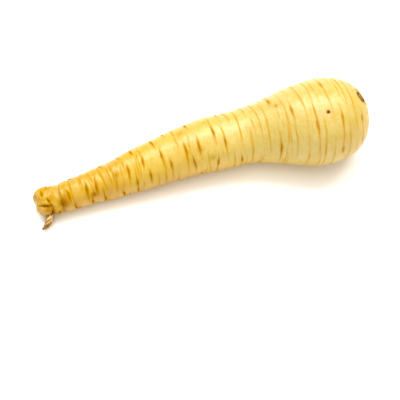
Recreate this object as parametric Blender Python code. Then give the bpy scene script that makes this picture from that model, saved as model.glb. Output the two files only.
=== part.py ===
"""Parsnip: one grown root lying on its side, with its tail knob at -X and its leaf scar at +X.

The root is a single closed body. Its outline is a tapered, slightly bowed taproot with a swollen,
lopsided crown, a sunken leaf scar, a folded knob where the tail turns sideways, and a dried rootlet.
Units are metres, +Z is up, and the origin lies under the middle of the root, on the surface it rests on.
"""

import math

import bmesh
import bpy
from mathutils import Vector

MM = 0.001

# Body: distances run in millimetres from the middle of the tail knob towards the crown. The radius
# rises from the tail's to the neck's along the taper, and from there to the crown's along the swell.
BODY_START = 12.0
CROWN_START = 190.0
TAIL_RADIUS = 10.3
NECK_RADIUS = 18.5
CROWN_RADIUS = 29.2
TAPER_SPAN = (5.0, 125.0)
SWELL_SPAN = (132.0, 193.0)

# The root bows sideways along its taper, and comes part of the way back at the crown.
BOW = 11.3
BOW_SPAN = (5.0, 120.0)
BOW_RETURN = 6.5
BOW_RETURN_SPAN = (138.0, 190.0)

# Shallow arches under the root, between the places where it rests: (middle, half-length, height).
UNDERSIDE_ARCHES = (
    (46.0, 32.0, 0.3),
    (150.0, 40.0, 1.2),
)

RING_SEGMENTS = 52
FINE_RING_STEP = 2.0
COARSE_RING_STEP = 4.5
FINE_RINGS_END = 62.0
TAIL_DOME_LENGTH = 4.0

# The root settles this far into its resting plane, which leaves small flats on its underside.
REST_TRIM = 0.5
UNDERSIDE_HALF_ARC = 60.0

# Crown: an ellipsoid dome whose rings lean over towards the leaf scar.
CROWN_DOME_LENGTH = 32.6
CROWN_FULLNESS = 2.25
SCAR_DIRECTION = (0.82, 0.10, 0.56)
DOME_RINGS = 8
DOME_FIRST_ANGLE = 81.0
DOME_ANGLE_STEP = 8.0
# Scar: (angle from the scar's middle in degrees, height above the dome in millimetres).
SCAR_RINGS = (
    (20.5, 0.1),
    (17.0, 0.3),
    (14.9, 0.5),
    (13.6, 0.3),
    (12.8, -0.8),
    (11.5, -1.3),
    (9.0, -1.2),
    (6.5, -0.8),
    (4.0, -0.5),
    (2.0, -0.7),
)
SCAR_MIDDLE_HEIGHT = -0.8

# Annular pinches near the tail, evenly spread, deep and shallow by turns, in millimetres.
PINCH_FIRST = 17.5
PINCH_STEP = 7.0
PINCH_COUNT = 6
PINCH_DEPTHS = (0.65, 0.4)
PINCH_SLANT = 1.6
PINCH_HALF_WIDTH = 1.7

# Main cross creases: (distance along, middle of the arc in degrees, half of the arc, depth).
# Angles run round the root from +Y through the top (90) to -Y (180).
CROSS_CREASES = (
    (66.5, 120.0, 55.0, 0.45),
    (75.0, 250.0, 60.0, 0.40),
    (84.0, 110.0, 50.0, 0.50),
    (93.0, 20.0, 55.0, 0.40),
    (103.0, 140.0, 60.0, 0.50),
    (113.5, 300.0, 60.0, 0.40),
    (122.5, 105.0, 65.0, 0.45),
    (133.0, 175.0, 60.0, 0.45),
    (144.0, 60.0, 60.0, 0.40),
    (153.0, 115.0, 70.0, 0.50),
    (163.0, 125.0, 75.0, 0.50),
    (172.0, 320.0, 70.0, 0.45),
    (181.0, 140.0, 75.0, 0.50),
)
CREASE_HALF_WIDTH = 1.0

# Broad, shallow unevenness of the body: (waves along, waves round, phase, height in millimetres).
BODY_WAVES = (
    (3.0, 2, 0.4, 0.35),
    (5.0, 1, 2.1, 0.25),
    (7.0, 3, 4.0, 0.20),
)
BODY_WAVE_SPAN = 180.0

# Tail knob: overlapping rounded lobes, (middle), (half-sizes), in millimetres.
KNOB_MIDDLE = (2.6, -0.6, 10.0)
KNOB_LOBES = (
    ((2.8, 0.2, 10.0), (10.2, 9.4, 9.7)),
    ((-0.6, -4.6, 7.9), (6.2, 6.0, 6.8)),
    ((8.2, -1.4, 10.0), (7.4, 10.5, 9.8)),
    ((-2.6, 2.6, 10.4), (4.9, 5.8, 7.2)),
)
KNOB_DETAIL = 4

# Dried rootlet: it starts inside the knob, heads out sideways, curls back past the tail and sinks.
ROOTLET_START = (1.5, -7.5, 7.0)
ROOTLET_LENGTH = 13.0
ROOTLET_CURL = 75.0
ROOTLET_SINK = 4.5
ROOTLET_BASE_RADIUS = 2.4
ROOTLET_END_RADIUS = 0.35
ROOTLET_RINGS = 9
ROOTLET_SEGMENTS = 12

# The middle of the finished root's outline, taken as the origin.
ORIGIN_SHIFT = Vector((-107.55, -4.83, 0.0))

FLESH_COLOUR = (0.87, 0.62, 0.20, 1.0)


def clear_scene():
    """Remove whatever the scene starts with."""
    for scene_object in list(bpy.data.objects):
        bpy.data.objects.remove(scene_object, do_unlink=True)


def ease(distance, span):
    """Give a value that rises smoothly from 0 to 1 over a span of distances."""
    share = min(max((distance - span[0]) / (span[1] - span[0]), 0.0), 1.0)
    return share * share * (3.0 - 2.0 * share)


def radius_at(distance):
    """Give the body's plain radius at a distance along."""
    taper = (NECK_RADIUS - TAIL_RADIUS) * ease(distance, TAPER_SPAN)
    swell = (CROWN_RADIUS - NECK_RADIUS) * ease(distance, SWELL_SPAN)
    return TAIL_RADIUS + taper + swell


def centre_at(distance):
    """Give the middle of the body's ring at a distance along."""
    bow = BOW * ease(distance, BOW_SPAN) - BOW_RETURN * ease(distance, BOW_RETURN_SPAN)
    height = radius_at(distance) - REST_TRIM
    for middle, half_length, rise in UNDERSIDE_ARCHES:
        height += rise * dip(distance - middle, half_length)
    return Vector((distance, bow, height))


def dip(offset, half_width):
    """Give a smooth bump of height 1 that falls to 0 at the half-width."""
    share = min(abs(offset) / half_width, 1.0)
    return 0.5 * (1.0 + math.cos(math.pi * share))


def surface_offset(distance, angle):
    """Give how far the skin stands off the plain round body, from waves, pinches and creases."""
    offset = 0.0
    under = (math.degrees(angle) - 270.0 + 180.0) % 360.0 - 180.0
    fade = min(1.0, (CROWN_START - distance) / 25.0)
    along = 2.0 * math.pi * distance / BODY_WAVE_SPAN
    for waves_along, waves_round, phase, height in BODY_WAVES:
        offset += fade * height * math.sin(waves_along * along + phase + waves_round * angle)
    for index in range(PINCH_COUNT):
        position = PINCH_FIRST + index * PINCH_STEP - PINCH_SLANT * math.cos(angle)
        depth = PINCH_DEPTHS[index % len(PINCH_DEPTHS)]
        offset -= depth * dip(distance - position, PINCH_HALF_WIDTH)
    degrees = math.degrees(angle)
    for position, middle, half_arc, depth in CROSS_CREASES:
        turn = (degrees - middle + 180.0) % 360.0 - 180.0
        strength = dip(turn, half_arc)
        offset -= depth * strength * dip(distance - position, CREASE_HALF_WIDTH)
    return offset * (1.0 - dip(under, UNDERSIDE_HALF_ARC))


def body_ring_positions():
    """List the body's ring distances: even steps, with extra rings at each cross crease."""
    special = []
    for position, _, _, _ in CROSS_CREASES:
        special += [position - CREASE_HALF_WIDTH, position, position + CREASE_HALF_WIDTH]
    even = []
    position = BODY_START
    while position < CROWN_START - 1.0:
        even.append(position)
        step = FINE_RING_STEP if position < FINE_RINGS_END else COARSE_RING_STEP
        position += step
    kept = [value for value in even if all(abs(value - extra) > 1.4 for extra in special)]
    return sorted(kept + special + [CROWN_START])


def ring_points(distance):
    """Place the points of one body ring."""
    centre = centre_at(distance)
    radius = radius_at(distance)
    points = []
    for index in range(RING_SEGMENTS):
        angle = 2.0 * math.pi * index / RING_SEGMENTS
        reach = radius + surface_offset(distance, angle)
        offset = Vector((0.0, reach * math.cos(angle), reach * math.sin(angle)))
        points.append(centre + offset)
    return points


def tail_dome_rings():
    """Place the closing rings that end the body inside the tail knob, from the pole outwards."""
    centre = centre_at(BODY_START)
    radius = radius_at(BODY_START)
    rings = []
    for degrees in (20.0, 45.0, 68.0):
        angle = math.radians(degrees)
        middle = centre - Vector((TAIL_DOME_LENGTH * math.cos(angle), 0.0, 0.0))
        reach = radius * math.sin(angle)
        ring = []
        for index in range(RING_SEGMENTS):
            turn = 2.0 * math.pi * index / RING_SEGMENTS
            ring.append(middle + Vector((0.0, reach * math.cos(turn), reach * math.sin(turn))))
        rings.append(ring)
    pole = centre - Vector((TAIL_DOME_LENGTH, 0.0, 0.0))
    return rings, pole


def crown_point(polar, turn, height):
    """Place a point of the crown dome, with its rings leaning towards the leaf scar."""
    radius = radius_at(CROWN_START)
    axis = Vector((1.0, 0.0, 0.0))
    scar = Vector(SCAR_DIRECTION).normalized()
    lean = axis.cross(scar).normalized()
    lean_angle = axis.angle(scar) * math.cos(polar) ** 2
    direction = Vector(
        (math.cos(polar), math.sin(polar) * math.cos(turn), math.sin(polar) * math.sin(turn))
    )
    turned = direction * math.cos(lean_angle)
    turned += lean.cross(direction) * math.sin(lean_angle)
    turned += lean * lean.dot(direction) * (1.0 - math.cos(lean_angle))
    across = math.hypot(turned.y, turned.z)
    full = (abs(turned.x) ** CROWN_FULLNESS + across**CROWN_FULLNESS) ** (-1.0 / CROWN_FULLNESS)
    place = Vector((turned.x * CROWN_DOME_LENGTH, turned.y * radius, turned.z * radius)) * full
    return centre_at(CROWN_START) + place + turned * height


def build_body():
    """Build the tapered body and crown as one closed mesh."""
    mesh = bmesh.new()
    dome_rings, tail_pole = tail_dome_rings()
    rings = dome_rings + [ring_points(distance) for distance in body_ring_positions()]
    dome = [(DOME_FIRST_ANGLE - index * DOME_ANGLE_STEP, 0.0) for index in range(DOME_RINGS)]
    for degrees, height in dome + list(SCAR_RINGS):
        polar = math.radians(degrees)
        ring = []
        for index in range(RING_SEGMENTS):
            turn = 2.0 * math.pi * index / RING_SEGMENTS
            ring.append(crown_point(polar, turn, height))
        rings.append(ring)
    loops = [[mesh.verts.new(point) for point in ring] for ring in rings]
    for near, far in zip(loops, loops[1:]):
        for index in range(RING_SEGMENTS):
            following = (index + 1) % RING_SEGMENTS
            mesh.faces.new((near[index], near[following], far[following], far[index]))
    tail_tip = mesh.verts.new(tail_pole)
    crown_tip = mesh.verts.new(crown_point(0.0, 0.0, SCAR_MIDDLE_HEIGHT))
    for index in range(RING_SEGMENTS):
        following = (index + 1) % RING_SEGMENTS
        mesh.faces.new((tail_tip, loops[0][following], loops[0][index]))
        mesh.faces.new((crown_tip, loops[-1][index], loops[-1][following]))
    return mesh


def lobe_reach(origin, direction, middle, half_sizes):
    """Give the distance from the origin to where a ray leaves a rounded lobe, or 0 if it misses."""
    start = [(origin[axis] - middle[axis]) / half_sizes[axis] for axis in range(3)]
    heading = [direction[axis] / half_sizes[axis] for axis in range(3)]
    square = sum(value * value for value in heading)
    cross = sum(a * b for a, b in zip(start, heading))
    rest = sum(value * value for value in start) - 1.0
    inside = cross * cross - square * rest
    if inside <= 0.0:
        return 0.0
    return max(0.0, (-cross + math.sqrt(inside)) / square)


def build_knob():
    """Build the folded tail knob as the outer skin of its overlapping lobes."""
    mesh = bmesh.new()
    bmesh.ops.create_icosphere(mesh, subdivisions=KNOB_DETAIL, radius=1.0)
    middle = Vector(KNOB_MIDDLE)
    for vert in mesh.verts:
        direction = vert.co.normalized()
        reach = max(lobe_reach(middle, direction, place, sizes) for place, sizes in KNOB_LOBES)
        vert.co = middle + direction * reach
    return mesh


def rootlet_points():
    """Walk along the rootlet and list its (middle point, radius), turning a little at each step."""
    step = ROOTLET_LENGTH / (ROOTLET_RINGS - 1)
    point = Vector(ROOTLET_START)
    points = []
    for index in range(ROOTLET_RINGS):
        share = index / (ROOTLET_RINGS - 1)
        radius = ROOTLET_BASE_RADIUS + (ROOTLET_END_RADIUS - ROOTLET_BASE_RADIUS) * share**1.5
        points.append((point.copy(), radius))
        curl = math.radians(ROOTLET_CURL) * share
        heading = Vector((-math.sin(curl), -math.cos(curl), -ROOTLET_SINK / ROOTLET_LENGTH))
        point += heading * step
    return points


def build_rootlet():
    """Build the dried rootlet as a tapering tube along its points."""
    mesh = bmesh.new()
    rings = rootlet_points()
    points = [place for place, _ in rings]
    loops = []
    for index, (_, radius) in enumerate(rings):
        ahead = points[min(index + 1, len(points) - 1)]
        behind = points[max(index - 1, 0)]
        tangent = (ahead - behind).normalized()
        side = tangent.cross(Vector((0.0, 0.0, 1.0))).normalized()
        lift = side.cross(tangent)
        loop = []
        for step in range(ROOTLET_SEGMENTS):
            turn = 2.0 * math.pi * step / ROOTLET_SEGMENTS
            offset = side * math.cos(turn) + lift * math.sin(turn)
            loop.append(mesh.verts.new(points[index] + offset * radius))
        loops.append(loop)
    for near, far in zip(loops, loops[1:]):
        for step in range(ROOTLET_SEGMENTS):
            following = (step + 1) % ROOTLET_SEGMENTS
            mesh.faces.new((near[step], near[following], far[following], far[step]))
    mesh.faces.new(loops[0])
    mesh.faces.new(loops[-1])
    return mesh


def build_rest_block():
    """Build the block that takes the thin flats off the underside, its top on the resting plane."""
    mesh = bmesh.new()
    bmesh.ops.create_cube(mesh, size=1.0)
    bmesh.ops.scale(mesh, vec=(320.0, 120.0, 20.0), verts=mesh.verts)
    bmesh.ops.translate(mesh, vec=(110.0, 0.0, -10.0), verts=mesh.verts)
    return mesh


def add_object(name, mesh):
    """Turn a finished mesh into a scene object, moved to the origin and scaled to metres."""
    bmesh.ops.translate(mesh, vec=ORIGIN_SHIFT, verts=mesh.verts)
    bmesh.ops.scale(mesh, vec=(MM, MM, MM), verts=mesh.verts)
    bmesh.ops.recalc_face_normals(mesh, faces=mesh.faces)
    data = bpy.data.meshes.new(name)
    mesh.to_mesh(data)
    mesh.free()
    made = bpy.data.objects.new(name, data)
    bpy.context.scene.collection.objects.link(made)
    return made


def add_boolean(target, other, operation):
    """Combine another body with the target and keep that body as a hidden wire outline."""
    modifier = target.modifiers.new(operation.title() + " " + other.name, "BOOLEAN")
    modifier.operation = operation
    modifier.solver = "EXACT"
    modifier.object = other
    other.hide_render = True
    other.display_type = "WIRE"


def flesh_material():
    """Make the pale yellow skin of the root."""
    material = bpy.data.materials.new("parsnip_skin")
    material.use_nodes = True
    shader = material.node_tree.nodes["Principled BSDF"]
    shader.inputs["Base Color"].default_value = FLESH_COLOUR
    shader.inputs["Roughness"].default_value = 0.45
    return material


def main():
    """Build the root."""
    clear_scene()
    root = add_object("parsnip_root", build_body())
    root.data.materials.append(flesh_material())
    add_boolean(root, add_object("tail_knob_shape", build_knob()), "UNION")
    add_boolean(root, add_object("rootlet_shape", build_rootlet()), "UNION")
    add_boolean(root, add_object("rest_block_shape", build_rest_block()), "DIFFERENCE")
    root.data.shade_smooth()
    root.data.set_sharp_from_angle(angle=math.radians(50.0))


main()
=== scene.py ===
"""Parsnip: the looks of one whole raw parsnip lying on its side.

The root is one grown body, shown here as four meshes that ride together: the tapering body with its
swollen crown, the folded knob at the tail, the dried rootlet that leaves the knob, and the dried leaf
bases that stand in the scar at the crown. Sizes are in millimetres until a mesh is finished, and a
place on the body is given by its station (millimetres along the skin from the tail to the scar) and
its turn (degrees round the root, from +Y through the top).
"""

import logging
import math
import random
from dataclasses import dataclass
from enum import Enum

import bmesh
import bpy
import numpy as np
from mathutils import Matrix, Vector, noise


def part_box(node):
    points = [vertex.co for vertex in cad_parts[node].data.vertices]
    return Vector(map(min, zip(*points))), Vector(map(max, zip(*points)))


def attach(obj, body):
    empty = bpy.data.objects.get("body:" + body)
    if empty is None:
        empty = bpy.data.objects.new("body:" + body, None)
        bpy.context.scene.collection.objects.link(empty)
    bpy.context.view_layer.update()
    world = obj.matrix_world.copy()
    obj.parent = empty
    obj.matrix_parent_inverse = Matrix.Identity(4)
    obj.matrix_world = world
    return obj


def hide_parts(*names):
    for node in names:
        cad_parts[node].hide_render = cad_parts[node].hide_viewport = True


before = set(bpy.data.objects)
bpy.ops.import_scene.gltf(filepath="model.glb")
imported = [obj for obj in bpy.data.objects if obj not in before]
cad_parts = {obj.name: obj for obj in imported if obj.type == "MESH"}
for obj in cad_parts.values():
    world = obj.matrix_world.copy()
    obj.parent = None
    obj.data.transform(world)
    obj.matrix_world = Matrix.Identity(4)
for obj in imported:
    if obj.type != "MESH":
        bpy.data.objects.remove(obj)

log = logging.getLogger("parsnip")

MM = 0.001
CAD_NODE = "parsnip_root"
BAKE_MAP = "OFBake"

# Millimetres from the knob's middle, where lengths start, to the end of the knob, and sideways from
# there to the middle of the root's box.
KNOB_REACH = 7.49
BOX_MIDDLE_SIDEWAYS = 4.83

Socket = bpy.types.NodeSocket
Sources = dict[str, Socket]
Triple = tuple[float, float, float]
Pair = tuple[float, float]


class Mark(Enum):
    """Names of the values that each point of a mesh carries for its material."""

    STRAIGHT = "straight"
    CREASE = "crease"
    CORE = "core"
    STAIN = "stain"
    FOLD = "fold"
    SCAR = "scar"
    TAIL = "tail"
    TONE = "tone"


class Rise(Enum):
    """How a reading comes in over its span."""

    EVEN = "LINEAR"
    SOFT = "SMOOTHSTEP"


class Join(Enum):
    """How several readings are taken together."""

    SUM = "ADD"
    PRODUCT = "MULTIPLY"


# --------------------------------------------------------------------------------------------
# Materials
# --------------------------------------------------------------------------------------------


def linear(code: str) -> tuple[float, float, float, float]:
    """Turn an sRGB hex colour into linear values.

    Args:
        code: six hex digits.

    Returns:
        Red, green, blue and an alpha of 1.
    """
    parts = [int(code[start : start + 2], 16) / 255.0 for start in (0, 2, 4)]
    low = [value / 12.92 for value in parts]
    high = [((value + 0.055) / 1.055) ** 2.4 for value in parts]
    mixed = [a if value <= 0.04045 else b for value, a, b in zip(parts, low, high)]
    return (*mixed, 1.0)


def add_node(
    tree: bpy.types.NodeTree,
    kind: str,
    settings: dict[str, object],
    inputs: dict[int | str, object],
) -> bpy.types.Node:
    """Add one shader node, set it up and wire it.

    Args:
        tree: the node tree it joins.
        kind: the node's type name.
        settings: the node's own properties, by name.
        inputs: a value or an output socket for each input, by the input's name or number.

    Returns:
        The new node.
    """
    node = tree.nodes.new(kind)
    for name, value in settings.items():
        setattr(node, name, value)
    for place, value in inputs.items():
        if isinstance(value, Socket):
            tree.links.new(value, node.inputs[place])
        else:
            node.inputs[place].default_value = value
    return node


@dataclass(frozen=True)
class Reading:
    """One pattern or mark, with the span of its values that counts and what that span becomes."""

    source: str
    span: Pair = (0.0, 1.0)
    result: Pair = (0.0, 1.0)
    rise: Rise = Rise.SOFT

    def wire(self, tree: bpy.types.NodeTree, sources: Sources) -> Socket:
        """Add the reading to a material.

        Args:
            tree: the material's node tree.
            sources: the material's patterns and marks, by name.

        Returns:
            The socket that gives the reading.
        """
        settings = {"interpolation_type": self.rise.value}
        values = (sources[self.source], *self.span, *self.result)
        return add_node(tree, "ShaderNodeMapRange", settings, dict(enumerate(values))).outputs[0]


@dataclass(frozen=True)
class Share:
    """How strongly something shows: readings taken together, from 0 to 1."""

    readings: tuple[Reading, ...]
    join: Join = Join.PRODUCT

    def wire(self, tree: bpy.types.NodeTree, sources: Sources) -> Socket:
        """Add the readings to a material and take them together.

        Args:
            tree: the material's node tree.
            sources: the material's patterns and marks, by name.

        Returns:
            The socket that gives the share.
        """
        settings = {"operation": self.join.value, "use_clamp": True}
        share = self.readings[0].wire(tree, sources)
        for reading in self.readings[1:]:
            inputs = {0: share, 1: reading.wire(tree, sources)}
            share = add_node(tree, "ShaderNodeMath", settings, inputs).outputs[0]
        return share


@dataclass(frozen=True)
class Coat:
    """One colour, laid over the ones before it: an sRGB hex value or the name of a source."""

    colour: str
    share: Share

    def wire(self, tree: bpy.types.NodeTree, sources: Sources, under: object) -> Socket:
        """Lay the coat.

        Args:
            tree: the material's node tree.
            sources: the material's patterns and marks, by name.
            under: the colour or socket that is under it.

        Returns:
            The socket of the colour with the coat on.
        """
        over = sources[self.colour] if self.colour in sources else linear(self.colour)
        inputs = {0: self.share.wire(tree, sources), 6: under, 7: over}
        return add_node(tree, "ShaderNodeMix", {"data_type": "RGBA"}, inputs).outputs[2]


def paint(
    tree: bpy.types.NodeTree, sources: Sources, ground: str, coats: tuple[Coat, ...]
) -> Socket:
    """Lay coats of colour, one after another.

    Args:
        tree: the material's node tree.
        sources: the material's patterns and marks, by name.
        ground: the sRGB hex colour under them all.
        coats: the coats, from the first laid to the last.

    Returns:
        The socket of the finished colour.
    """
    colour = linear(ground)
    for coat in coats:
        colour = coat.wire(tree, sources, colour)
    return colour


def start_material(name: str) -> tuple[bpy.types.Material, bpy.types.NodeTree, bpy.types.Node]:
    """Start a material.

    Args:
        name: the material's name.

    Returns:
        The material, its node tree and its Principled shader.
    """
    material = bpy.data.materials.new(name)
    material.use_nodes = True
    return material, material.node_tree, material.node_tree.nodes["Principled BSDF"]


@dataclass(frozen=True)
class SkinFinish:
    """Washed, waxy skin of a raw parsnip.

    It gives the eye a pale cream crown that warms to gold at the tail, ochre cross creases with
    browner corky middles, and a soft broad sheen that the marks dull.
    """

    name: str = "raw parsnip skin"
    cream: str = "BDA850"
    gold: str = "C3A20A"
    deep_gold: str = "B48800"
    pale: str = "C8B680"
    ochre: str = "B48200"
    cork: str = "8A5600"
    tan: str = "8F5B04"
    # Brown of the folds and the joint, partly their own colour and partly painted shade.
    fold_brown_and_shade: str = "865200"
    pit_brown: str = "5A3000"
    scar_rim: str = "2E1704"
    scar_plate: str = "6A4614"
    roughness: Pair = (0.32, 0.41)
    specular: float = 0.5
    all_dull_at: float = 0.7
    ior: float = 1.58
    scatter_weight: float = 0.12
    scatter_radius: Triple = (1.0, 0.5, 0.12)
    scatter_scale_mm: float = 4.0
    # Name, size in millimetres and detail of each cloud.
    clouds: tuple[tuple[str, float, float], ...] = (
        ("patches", 30.0, 3.0),
        ("mottle", 5.0, 4.0),
        ("specks", 1.2, 3.0),
        ("raggedness", 0.9, 2.0),
        ("grain", 0.8, 2.0),
        ("pores", 0.5, 2.0),
    )
    cloud_roughness: float = 0.55
    wrinkle_step_mm: float = 1.1
    wrinkle_length_mm: float = 16.0
    wrinkle_roughness: float = 0.6
    # What stands up from the skin, and how far in millimetres, from the broadest to the finest.
    reliefs: tuple[tuple[str, float], ...] = (("mottle", 0.5), ("wrinkles", 0.12), ("pores", 0.03))
    # Ragged distance from the pit at which each of these starts, and at which it is full.
    pit_ring_mm: Pair = (2.86, 1.32)
    pit_floor_mm: Pair = (1.87, 1.21)
    pit_dull_mm: Pair = (1.65, 1.1)
    pit_raggedness_mm: float = 0.9

    def build(self, pit: Vector) -> bpy.types.Material:
        """Make the material.

        Args:
            pit: the straightened place of the one dark pit, in millimetres.

        Returns:
            The skin's material, which reads the marks on the mesh.
        """
        material, tree, shader = start_material(self.name)
        sources = self._sources(tree, pit)
        plate = (Coat(self.scar_plate, Share((Reading("grain", (0.42, 0.6)),))),)
        sources["plate"] = paint(tree, sources, self.scar_rim, plate)
        colour = paint(tree, sources, self.cream, self._skin_coats() + self._mark_coats())
        tree.links.new(colour, shader.inputs["Base Color"])
        uneven = (Reading("mottle", rise=Rise.EVEN), Reading(Mark.SCAR.value, rise=Rise.EVEN))
        sources["uneven"] = Share(uneven, Join.SUM).wire(tree, sources)
        rough = Reading("uneven", result=self.roughness, rise=Rise.EVEN).wire(tree, sources)
        tree.links.new(rough, shader.inputs["Roughness"])
        marks = (Mark.CREASE, Mark.FOLD, Mark.STAIN, Mark.SCAR)
        dull = tuple(Reading(name.value, rise=Rise.EVEN) for name in marks)
        dull += (Reading("pit", self.pit_dull_mm),)
        sources["dull"] = Share(dull, Join.SUM).wire(tree, sources)
        sheen = Reading("dull", (0.0, self.all_dull_at), (self.specular, 0.0), Rise.EVEN)
        tree.links.new(sheen.wire(tree, sources), shader.inputs["Specular IOR Level"])
        tree.links.new(self._relief(tree, sources), shader.inputs["Normal"])
        shader.inputs["IOR"].default_value = self.ior
        shader.inputs["Subsurface Weight"].default_value = self.scatter_weight
        shader.inputs["Subsurface Radius"].default_value = self.scatter_radius
        shader.inputs["Subsurface Scale"].default_value = self.scatter_scale_mm * MM
        return material

    def _sources(self, tree: bpy.types.NodeTree, pit: Vector) -> Sources:
        """Add the marks, the clouds, the wrinkles and the ragged distance from the pit.

        Args:
            tree: the material's node tree.
            pit: the straightened place of the pit, in millimetres.

        Returns:
            Each one's socket, by name. The pit's is in millimetres.
        """
        sources = {}
        for name in Mark:
            if name is not Mark.TONE:
                reader = add_node(tree, "ShaderNodeAttribute", {"attribute_name": name.value}, {})
                sources[name.value] = reader.outputs["Vector" if name is Mark.STRAIGHT else "Fac"]
        place = sources[Mark.STRAIGHT.value]
        for name, size_mm, detail in self.clouds:
            inputs = {"Vector": place, "Scale": 1.0 / size_mm, "Detail": detail}
            inputs["Roughness"] = self.cloud_roughness
            sources[name] = add_node(tree, "ShaderNodeTexNoise", {}, inputs).outputs[0]
        squeeze = self.wrinkle_step_mm / self.wrinkle_length_mm
        inputs = {"Vector": place, "Scale": (1.0, squeeze, squeeze)}
        stretched = add_node(tree, "ShaderNodeMapping", {}, inputs).outputs[0]
        inputs = {"Vector": stretched, "Scale": 1.0 / self.wrinkle_step_mm, "Detail": 2.0}
        inputs["Roughness"] = self.wrinkle_roughness
        sources["wrinkles"] = add_node(tree, "ShaderNodeTexNoise", {}, inputs).outputs[0]
        away = add_node(tree, "ShaderNodeVectorMath", {"operation": "DISTANCE"}, {0: place, 1: pit})
        inputs = {0: sources["raggedness"], 1: self.pit_raggedness_mm, 2: away.outputs["Value"]}
        settings = {"operation": "MULTIPLY_ADD"}
        sources["pit"] = add_node(tree, "ShaderNodeMath", settings, inputs).outputs[0]
        return sources

    def _skin_coats(self) -> tuple[Coat, ...]:
        """List the coats that colour the sound skin, over cream.

        Returns:
            The coats, from the first laid to the last.
        """
        tail = Mark.TAIL.value
        # The tail mark also holds painted shade low on one side, which these gold coats lay on.
        warm = (Reading(tail), Reading("patches", (0.5, 1.0), (0.0, 0.45), Rise.EVEN))
        deep = (Reading("patches", (0.48, 0.72), (0.0, 0.35)), Reading(tail, (0.65, 1.0), (0.0, 0.6)))
        light = (Reading("mottle", (0.35, 0.85)), Reading(tail, (0.0, 1.0), (0.58, 0.08), Rise.EVEN))
        lines = (Reading("wrinkles", (0.54, 0.74), (0.0, 0.5)),)
        specks = (Reading("specks", (0.50, 0.72), (0.0, 0.34)),)
        return (
            Coat(self.gold, Share(warm, Join.SUM)),
            Coat(self.deep_gold, Share(deep, Join.SUM)),
            Coat(self.pale, Share(light)),
            Coat(self.ochre, Share(lines)),
            Coat(self.ochre, Share(specks)),
        )

    def _mark_coats(self) -> tuple[Coat, ...]:
        """List the coats for creases, cork, stains, folds with painted shade, the scar and the pit.

        Returns:
            The coats, from the first laid to the last.
        """
        crease = Reading(Mark.CREASE.value, rise=Rise.EVEN)
        core = Reading(Mark.CORE.value, rise=Rise.EVEN)
        stain = Reading(Mark.STAIN.value, rise=Rise.EVEN)
        scar = Mark.SCAR.value
        broken = (0.12, 0.42)
        return (
            Coat(self.ochre, Share((crease, Reading("grain", broken, (0.0, 0.97))))),
            Coat(self.cork, Share((core, Reading("grain", broken, (0.0, 0.84))))),
            Coat(self.tan, Share((stain, Reading("mottle", (0.3, 0.6))))),
            # The fold mark is partly the fold's own brown and partly painted shade in the fold and
            # beside the joint.
            Coat(self.fold_brown_and_shade, Share((Reading(Mark.FOLD.value, rise=Rise.EVEN),))),
            Coat("plate", Share((Reading(scar, (0.05, 0.5)),))),
            Coat(self.scar_rim, Share((Reading(scar, (0.75, 1.0)),))),
            Coat(self.ochre, Share((Reading("pit", self.pit_ring_mm),))),
            Coat(self.pit_brown, Share((Reading("pit", self.pit_floor_mm),))),
        )

    def _relief(self, tree: bpy.types.NodeTree, sources: Sources) -> Socket:
        """Stack the reliefs, each on the one before it.

        Args:
            tree: the material's node tree.
            sources: the material's patterns and marks, by name.

        Returns:
            The socket of the skin's normal.
        """
        inputs = {"Strength": 1.0}
        for name, height_mm in self.reliefs:
            inputs |= {"Height": sources[name], "Distance": height_mm * MM}
            inputs["Normal"] = add_node(tree, "ShaderNodeBump", {}, inputs).outputs[0]
        return inputs["Normal"]


@dataclass(frozen=True)
class DriedFibreFinish:
    """Shrivelled, papery plant fibre.

    It gives the eye dull brown and straw streaks that run along each strand.
    """

    name: str = "dried root fibre"
    dark: str = "5A3810"
    middle: str = "A87A2E"
    straw: str = "E3CB8C"
    roughness: float = 0.72
    streak_mm: float = 0.35
    relief_mm: float = 0.15

    def build(self) -> bpy.types.Material:
        """Make the material.

        Returns:
            The fibre's material, which reads each strand's own tone.
        """
        material, tree, shader = start_material(self.name)
        place = add_node(tree, "ShaderNodeTexCoord", {}, {}).outputs["Object"]
        inputs = {"Vector": place, "Scale": 1.0 / (self.streak_mm * MM), "Detail": 3.0}
        streaks = add_node(tree, "ShaderNodeTexNoise", {}, inputs).outputs[0]
        tone = Mark.TONE.value
        reader = add_node(tree, "ShaderNodeAttribute", {"attribute_name": tone}, {})
        sources = {tone: reader.outputs["Fac"], "streaks": streaks}
        lifted = Reading("streaks", (0.5, 1.0), (0.0, 0.5), Rise.EVEN)
        shade = Share((Reading(tone, rise=Rise.EVEN), lifted), Join.SUM)
        sources["shade"] = shade.wire(tree, sources)
        coats = (
            Coat(self.middle, Share((Reading("shade", (0.0, 0.55)),))),
            Coat(self.straw, Share((Reading("shade", (0.55, 1.0)),))),
        )
        tree.links.new(paint(tree, sources, self.dark, coats), shader.inputs["Base Color"])
        inputs = {"Strength": 1.0, "Distance": self.relief_mm * MM, "Height": streaks}
        relief = add_node(tree, "ShaderNodeBump", {}, inputs).outputs[0]
        tree.links.new(relief, shader.inputs["Normal"])
        shader.inputs["Roughness"].default_value = self.roughness
        return material


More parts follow.
